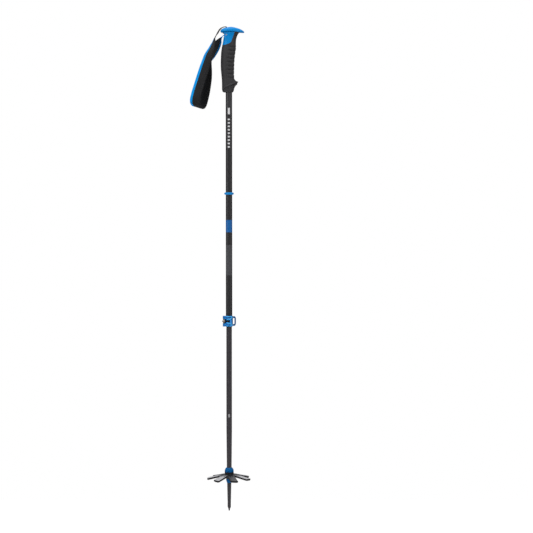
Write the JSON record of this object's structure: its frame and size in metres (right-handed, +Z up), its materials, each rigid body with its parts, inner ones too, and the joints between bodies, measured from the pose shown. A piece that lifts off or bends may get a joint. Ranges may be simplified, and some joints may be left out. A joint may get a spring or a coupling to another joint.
{
  "type": "ski pole",
  "caption": "Telescopic ski touring pole with a beaked grip, padded wrist strap, cam lever lock, drooping petal basket and hard tip.",
  "frame": {"origin": "point of the tip, on the shaft's axis", "axes": "+Z up the shaft towards the grip, +X towards the beak and finger side of the grip, strap on the -X side"},
  "size_m": [0.1522, 0.1101, 1.2116],
  "materials": {
    "blue_plastic": "satin moulded plastic",
    "grip_rubber": "matt soft rubber",
    "black_webbing": "woven polyester",
    "black_padding": "padded knitted fabric",
    "blue_binding": "woven binding tape",
    "upper_tube": "satin lacquer with plain colour bands",
    "lower_tube": "satin anodised",
    "black_plastic": "fine moulded texture",
    "basket_plastic": "satin moulded plastic",
    "blue_metal": "blue anodised",
    "steel": "brushed",
    "bronze": "dull bronze grey",
    "white_plastic": "natural nylon",
    "ferrule_plastic": "satin",
    "carbide": "ground"
  },
  "bodies": {
    "upper_section": {"pommel": "blue_plastic", "grip_core": "blue_plastic", "grip_handle": "grip_rubber", "strap_wedge": "black_plastic", "strap_pin": "steel", "strap_webbing": "black_webbing", "strap_tail": "black_webbing", "upper_shaft": "upper_tube", "shaft_cap": "black_plastic", "shaft_ring": "blue_plastic", "lock_liner": "black_plastic", "clamp_band": "blue_metal", "cam_saddle": "steel", "lever_trunnion": "bronze"},
    "wrist_strap": {"strap_band": "black_padding", "strap_binding": "blue_binding"},
    "lever": {"lock_lever": "blue_metal"},
    "screw": {"tension_screw": "steel"},
    "guide": {"guide_bush": "white_plastic"},
    "lower_section": {"shaft_plug": "black_plastic", "bush_retainer": "black_plastic", "lower_shaft": "lower_tube", "basket_collar": "blue_plastic", "basket": "basket_plastic", "basket_seat": "blue_plastic", "tip_ferrule": "ferrule_plastic", "carbide_tip": "carbide"}
  },
  "joints": [
    {"name": "length_adjust", "type": "slide", "parent": "upper_section", "child": "guide", "axis": [0, 0, 1], "range_m": [-0.19, 0.21]},
    {"name": "lower_twist", "type": "hinge", "parent": "guide", "child": "lower_section", "pos_m": [0, 0, 0.79], "axis": [0, 0, 1], "continuous": true},
    {"name": "lever_open", "type": "hinge", "parent": "upper_section", "child": "lever", "pos_m": [-0.0125, -0.009, 0.4773], "axis": [0, 0, -1], "range_deg": [0, 150]},
    {"name": "screw_turn", "type": "hinge", "parent": "upper_section", "child": "screw", "pos_m": [-0.0125, 0, 0.4773], "axis": [0, 1, 0], "continuous": true},
    {"name": "strap_swing", "type": "hinge", "parent": "upper_section", "child": "wrist_strap", "pos_m": [-0.026, 0, 1.19], "axis": [0, 1, 0], "range_deg": [-8, 30], "stiffness_Nm_per_rad": 0.08, "springref_deg": 8.02, "deforming": ["strap_webbing", "strap_tail"]}
  ]
}
